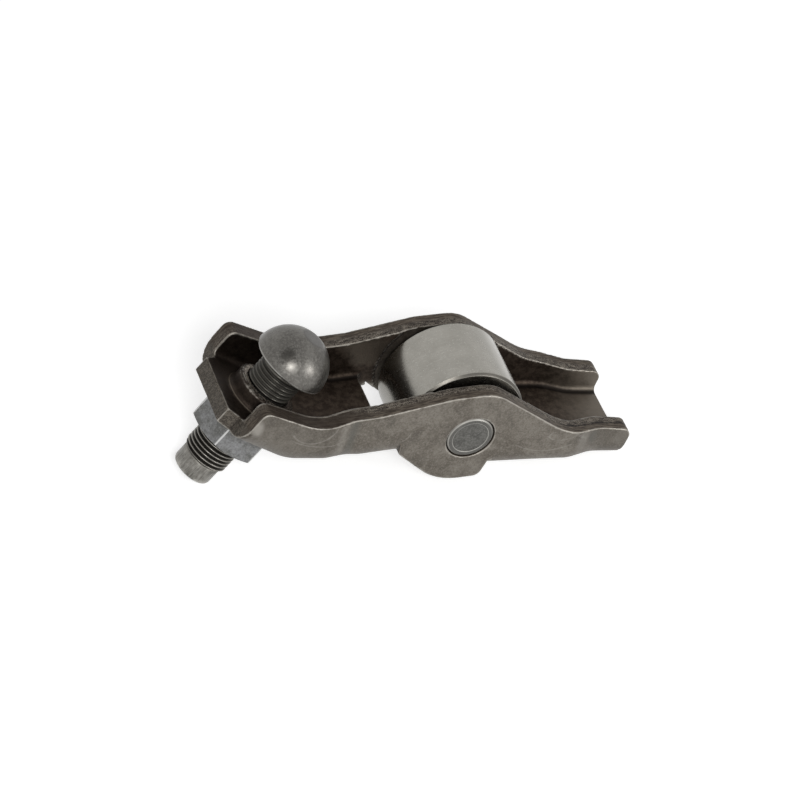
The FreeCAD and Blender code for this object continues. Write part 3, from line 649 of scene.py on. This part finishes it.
def wall_marks_and_painted_light(p):
    """Pale press marks and painted highlights on the near wall, painted shade beside its joggles and on the
    ear, and a painted reflection on the far wall's inner face: circles and ovals in side view, each cut off
    by a window."""
    x, y, z = (p.axis(k) for k in range(3))
    grain = p.noise(0.9, 3, 0.6)
    outside = 1.0 - p.step(y, -9.4, -8.6)
    loop = p.near(p.reach(-27.6, 8.3), 4.15, 0.20) * (1.0 - p.step(z, 6.3, 6.9))
    draw = p.near(p.reach(-24.6, 14.6), 11.5, 0.16) * p.within(x, -31.5, -23.6, 0.6)
    draw = draw * (1.0 - p.step(z, 5.6, 6.4))
    lobe = p.near(p.reach(-12.9, 3.2), 2.2, 0.15) * p.step(x, -12.6, -12.0) * (1.0 - p.step(z, 2.6, 3.2))
    oval = p.near(p.reach(16.9, -1.85, 2.7, 1.25), 1.0, 0.11) * (1.0 - p.step(z, -1.4, -0.9))
    sweep = p.near(p.reach(14.8, 5.0), 10.1, 0.18) * p.within(x, 8.0, 18.8, 0.7)
    sweep = sweep * (1.0 - p.step(z, -3.2, -2.6))
    # painted highlights along the ear's fold: its ridge and the arm beside it
    ridge = p.near(x + z * -0.17 + (grain - 0.5) * 1.6, 21.6, 1.25) * p.within(z, -6.4, -2.4, 0.9) * 0.9
    arm = p.near(x + z * 1.3 + (grain - 0.5) * 1.2, 16.1, 0.45) * p.within(x, 18.9, 21.4, 0.5) * 0.8
    # painted light on the lit side of the ball-end joggle
    fold = p.near(x + z * -0.15, -23.3, 1.1) * p.within(z, 1.0, 6.6, 0.8)
    marks_and_highlights = (loop + draw + lobe + oval + sweep + ridge + arm + fold * 0.7) * outside * (0.1 + grain * 1.6)
    # painted shade on the ear's facet and the joggle slope
    shade = p.near(p.reach(23.0, -4.4, 1.4, 1.9), 0.0, 1.0) + p.within(x + z * -0.15, -22.2, -20.9, 0.8)
    shade = shade * outside
    # painted reflection on the far wall's inner face, beside the roller
    reflection_patch = p.step(x + z * 0.43 + (grain - 0.5) * 2.5, -15.2, -12.6) * p.step(p.reach(0.0, 0.0), 10.7, 11.4)
    reflection_patch = reflection_patch * p.within(z + (grain - 0.5) * 2.0, 2.2, 7.3, 0.8)
    reflection_patch = reflection_patch * p.step(y, 6.9, 7.1) * (1.0 - p.step(x, -9.5, -6.5))
    return marks_and_highlights, shade, reflection_patch


def oxide_screw():
    """Ball head polished, thread painted dark in its roots as shade and paler on its crests, tail turned
    bright.
    """
    p = Paint("oxide_screw")
    station, depth = p.read("station"), p.read("depth")
    grain, fine = p.noise(0.35, 4, 0.6), p.noise(2.8, 3, 0.75)
    # painted shade in the thread's roots, paler crests
    lower = p.mix(p.step(depth, 0.05, 0.75), (0.225, 0.214, 0.192), (0.014, 0.012, 0.010))
    upper = p.mix(p.step(depth, 0.05, 0.60), (0.091, 0.086, 0.075), (0.047, 0.044, 0.038))
    colour = p.mix(p.step(station, 9.0, 12.0), lower, upper)
    ball = p.mix(p.step(grain, 0.38, 0.66), (0.098, 0.093, 0.085), (0.140, 0.134, 0.123))
    ball = p.mix(p.step(fine, 0.46, 0.66) * 0.5, ball, (0.205, 0.197, 0.181))
    spot = p.vector("DISTANCE", p.place, (-31.1, -3.4, 16.4), output="Value")
    ball = p.mix((1.0 - p.step(spot + (fine - 0.5) * 1.2, 0.4, 2.3)) * 0.85, ball, (0.030, 0.028, 0.025))
    # painted highlight along the ball's lower rim, brighter on one side
    rim = 0.85 - p.step(p.along(ACROSS, SCREW_FOOT), -0.5, 4.0) * 0.55
    rim = rim * p.within(station, 22.08, 22.34, 0.08)
    ball = p.mix(rim, ball, (0.60, 0.59, 0.55))
    colour = p.mix(p.step(station, 21.6, 22.0), colour, ball)
    colour = p.mix(p.step(station, 28.0, 28.12), colour, (0.090, 0.086, 0.080))
    shift = p.node("VectorMath", {"operation": "SCALE"}, {0: tuple(ALONG), "Scale": station * 0.88})
    brushed = p.noise(4.5, 3, 0.7, vector=p.vector("SUBTRACT", p.place, shift))
    tail = p.mix(p.step(grain, 0.36, 0.64), (0.110, 0.105, 0.093), (0.215, 0.206, 0.187))
    tail = p.mix(p.step(brushed, 0.46, 0.64) * 0.35, tail, (0.36, 0.350, 0.325))
    tail = p.mix((1.0 - p.step(brushed, 0.36, 0.50)) * 0.3, tail, (0.060, 0.057, 0.050))
    # painted highlight at the tail's rounded end
    tip = (1.0 - p.step(station, TAIL_END + 0.1, TAIL_END + 1.1)) * p.step(grain, 0.42, 0.6)
    tail = p.mix(tip * 0.5, tail, (0.5, 0.485, 0.45))
    colour = p.mix(p.step(station, 0.0, 0.35), tail, colour)
    # painted shade in the groove below the thread and in the gap inside the collar
    colour = p.mix(p.within(station, 0.30, 0.66, 0.08) + p.within(station, 15.5, 16.85, 0.15), colour,
                   (0.010, 0.009, 0.008))
    turning = p.node("TexWave", {"wave_type": "BANDS", "bands_direction": "X"}, {
        "Vector": p.node("CombineXYZ", None, {0: station}), "Scale": 4.0, "Distortion": 0.4}, output="Fac")
    smudge = p.noise(0.42, 3, 0.5)
    roughness = 0.34 + (fine - 0.5) * 0.45 + p.step(depth, 0.1, 0.7) * 0.25 + (smudge - 0.5) * 0.10
    roughness = roughness + p.within(station, -0.3, 0.7, 0.15) * 0.2
    lathe = turning * (1.0 - p.step(station, 0.0, 0.3))
    return p.finish(colour, roughness, 0.90, fine * 0.5 + lathe * 0.6, 0.012)


def nut_steel():
    """Grey nut with a faint blue cast and a painted highlight along its corners."""
    p = Paint("nut_steel")
    corner, grain, fine = p.read("corner"), p.noise(0.45, 4, 0.6), p.noise(2.8, 3, 0.75)
    colour = p.mix(p.step(grain, 0.38, 0.66), (0.118, 0.118, 0.112), (0.205, 0.206, 0.208))
    colour = p.mix(p.step(fine, 0.5, 0.68) * 0.5, colour, (0.29, 0.29, 0.288))
    colour = p.mix((1.0 - p.step(fine, 0.36, 0.48)) * 0.5, colour, (0.070, 0.070, 0.067))
    # painted highlight along the nut's corners
    colour = p.mix(p.step(corner + (fine - 0.5) * 0.5, 0.55, 1.0) * 0.85, colour, (0.60, 0.60, 0.59))
    roughness = 0.42 + (fine - 0.5) * 0.2 - corner * 0.08
    return p.finish(colour, roughness, 0.70, fine * 0.8 + grain, 0.020)


def ground_steel():
    """Ground ring: fine lines that run round it, a warm grey and a satin shine."""
    p = Paint("ground_steel")
    lines = p.noise(1.0, 3, 0.7, stretch=(0.05, 7.0, 0.05))
    cloud, fine = p.noise(0.22, 4, 0.6), p.noise(2.6, 3, 0.75)
    colour = p.mix(p.step(cloud, 0.34, 0.68), (0.275, 0.264, 0.236), (0.335, 0.322, 0.290))
    colour = p.mix(p.step(lines, 0.35, 0.7) * 0.35, colour, (0.255, 0.244, 0.218))
    colour = p.mix(p.step(fine, 0.48, 0.68) * 0.4, colour, (0.39, 0.38, 0.35))
    side = abs(p.axis(1))
    # painted dark reflection on the chamfers at the ring's edges
    bevel = p.step(side, 5.94, 6.02) * (1.0 - p.step(side, 6.31, 6.345))
    colour = p.mix(bevel * 0.85, colour, (0.060, 0.055, 0.048))
    return p.finish(colour, 0.25 + (fine - 0.5) * 0.14 + bevel * 0.12, 1.0, lines * 0.7 + fine * 0.5, 0.006)


def pin_steel():
    """Ground pin, its end face dull with a faint ring and specks, painted highlights on its edges and painted
    shade on its rim.
    """
    p = Paint("pin_steel")
    fine, cloud = p.noise(2.8, 3, 0.75), p.noise(0.5, 3, 0.55)
    reach = p.reach(0.0, 0.0)
    colour = p.mix(p.step(cloud, 0.35, 0.68), (0.070, 0.068, 0.062), (0.105, 0.103, 0.094))
    colour = p.mix(p.step(fine, 0.48, 0.66) * 0.5, colour, (0.18, 0.177, 0.166))
    colour = p.mix((1.0 - p.step(fine, 0.36, 0.48)) * 0.5, colour, (0.035, 0.034, 0.031))
    band = p.step(reach, 3.06, 3.14)
    colour = p.mix(band * 0.5, colour, (0.095, 0.092, 0.084))
    # painted highlights on the edges of the end face's step and rim
    ring_highlights = p.step(reach, 3.00, 3.08) * (1.0 - p.step(reach, 3.10, 3.20)) + p.step(reach, 3.66, 3.76) * (
        1.0 - p.step(reach, 3.86, 3.98))
    colour = p.mix(ring_highlights * 0.8, colour, (0.34, 0.330, 0.305))
    # painted shade over the rounded rim
    colour = p.mix(p.step(reach, 3.96, 4.06), colour, (0.012, 0.010, 0.009))
    return p.finish(colour, 0.44 + (fine - 0.5) * 0.2, 0.60, fine, 0.014)


def bearing_steel():
    """Polished needles under a film of oil."""
    p = Paint("bearing_steel")
    cloud = p.noise(0.8, 3, 0.5)
    colour = p.mix(p.step(cloud, 0.3, 0.7), (0.50, 0.49, 0.475), (0.62, 0.61, 0.59))
    return p.finish(colour, 0.18 + (cloud - 0.5) * 0.08, 1.0, cloud, 0.002, {"Coat Weight": 0.2})


def paint(piece, material):
    piece.data.materials.clear()
    piece.data.materials.append(material)


# Stage, lights and camera

def add_floor():
    """A pale plane under the part, white to the camera away from the part's shadow."""
    mesh = bpy.data.meshes.new("floor")
    reach, z = 3.0, FLOOR * MM
    mesh.from_pydata([(-reach, -reach, z), (reach, -reach, z), (reach, reach, z), (-reach, reach, z)], [],
                     [(0, 1, 2, 3)])
    floor = bpy.data.objects.new("floor", mesh)
    bpy.context.scene.collection.objects.link(floor)
    p = Paint("floor")
    sight = p.node("LightPath", output="Is Camera Ray")
    gloss = p.node("LightPath", output="Is Glossy Ray")
    lift = p.node("Emission", None, {"Strength": 0.56 * (sight + gloss)})
    flat = p.node("BsdfDiffuse", None, {"Color": (0.82, 0.82, 0.82, 1)})
    p.node_output(p.node("AddShader", None, {0: flat, 1: lift}))
    paint(floor, p.material)


def add_world():
    world = bpy.data.worlds.new("studio")
    bpy.context.scene.world = world
    world.use_nodes = True
    tree = world.node_tree
    tree.nodes.clear()
    path = tree.nodes.new("ShaderNodeLightPath")
    plain, seen = (tree.nodes.new("ShaderNodeBackground") for _ in range(2))
    plain.inputs["Color"].default_value = (1, 1, 1, 1)
    plain.inputs["Strength"].default_value = 0.36
    seen.inputs["Color"].default_value = (1, 1, 1, 1)
    seen.inputs["Strength"].default_value = 1.0
    mix, out = tree.nodes.new("ShaderNodeMixShader"), tree.nodes.new("ShaderNodeOutputWorld")
    sight = tree.nodes.new("ShaderNodeMath")
    tree.links.new(path.outputs["Is Camera Ray"], sight.inputs[0])
    tree.links.new(path.outputs["Is Glossy Ray"], sight.inputs[1])
    tree.links.new(sight.outputs[0], mix.inputs[0])
    tree.links.new(plain.outputs[0], mix.inputs[1])
    tree.links.new(seen.outputs[0], mix.inputs[2])
    tree.links.new(mix.outputs[0], out.inputs[0])


def add_lamp(name, place, size, watts):
    """A soft rectangular lamp that faces the part."""
    data = bpy.data.lights.new(name, "AREA")
    data.shape, data.size, data.size_y, data.energy = "RECTANGLE", size[0], size[1], watts
    lamp = bpy.data.objects.new(name, data)
    lamp.location = place
    lamp.rotation_euler = (-Vector(place)).to_track_quat("-Z", "Y").to_euler()
    bpy.context.scene.collection.objects.link(lamp)


def add_camera():
    """The photograph's view: an eye 558 mm from the origin with a focal length of 3404 pixels, turned
    so that its axis runs through the middle of the picture."""
    azimuth, elevation, roll = math.radians(-19.03), math.radians(45.23), math.radians(9.40)
    focal, middle, picture, film, distance = 3403.8, (450.0, 395.7), 800.0, 36.0, 558.0
    back = np.array([math.sin(azimuth) * math.cos(elevation), -math.cos(azimuth) * math.cos(elevation),
                     math.sin(elevation)])
    right = np.array([math.cos(azimuth), math.sin(azimuth), 0.0])
    up = np.cross(back, right)
    tilt = np.array([[math.cos(roll), 0, -math.sin(roll)], [0, 1, 0], [math.sin(roll), 0, math.cos(roll)]])
    back, right, up = tilt @ back, tilt @ right, tilt @ up
    eye = back * distance
    sight = (picture / 2 - middle[0]) * right - (picture / 2 - middle[1]) * up - focal * back
    back = -sight / np.linalg.norm(sight)
    right = np.cross(up, back)
    right /= np.linalg.norm(right)
    up = np.cross(back, right)
    data = bpy.data.cameras.new("camera")
    data.sensor_width, data.lens, data.clip_start = film, focal * film / picture, 0.01
    camera = bpy.data.objects.new("camera", data)
    turn = Matrix([[right[i], up[i], back[i]] for i in range(3)]).to_4x4()
    camera.matrix_world = Matrix.Translation(Vector(eye * MM)) @ turn
    bpy.context.scene.collection.objects.link(camera)
    bpy.context.scene.camera = camera


def main():
    add_camera()
    paint(add_channel(), hardened_sheet())
    paint(add_screw(), oxide_screw())
    paint(add_nut(), nut_steel())
    paint(add_roller(), ground_steel())
    paint(add_pin(), pin_steel())
    needles = bearing_steel()
    for name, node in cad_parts.items():
        if name.startswith("needle_"):
            paint(node, needles)
    add_floor()
    add_world()
    add_lamp("key", (-0.173, -0.517, 0.440), (0.18, 0.18), 2.3)
    add_lamp("fill", (0.445, -0.507, 0.187), (0.18, 0.18), 1.5)
    bpy.context.scene.view_settings.view_transform = "Standard"


main()
bpy.context.view_layer.update()
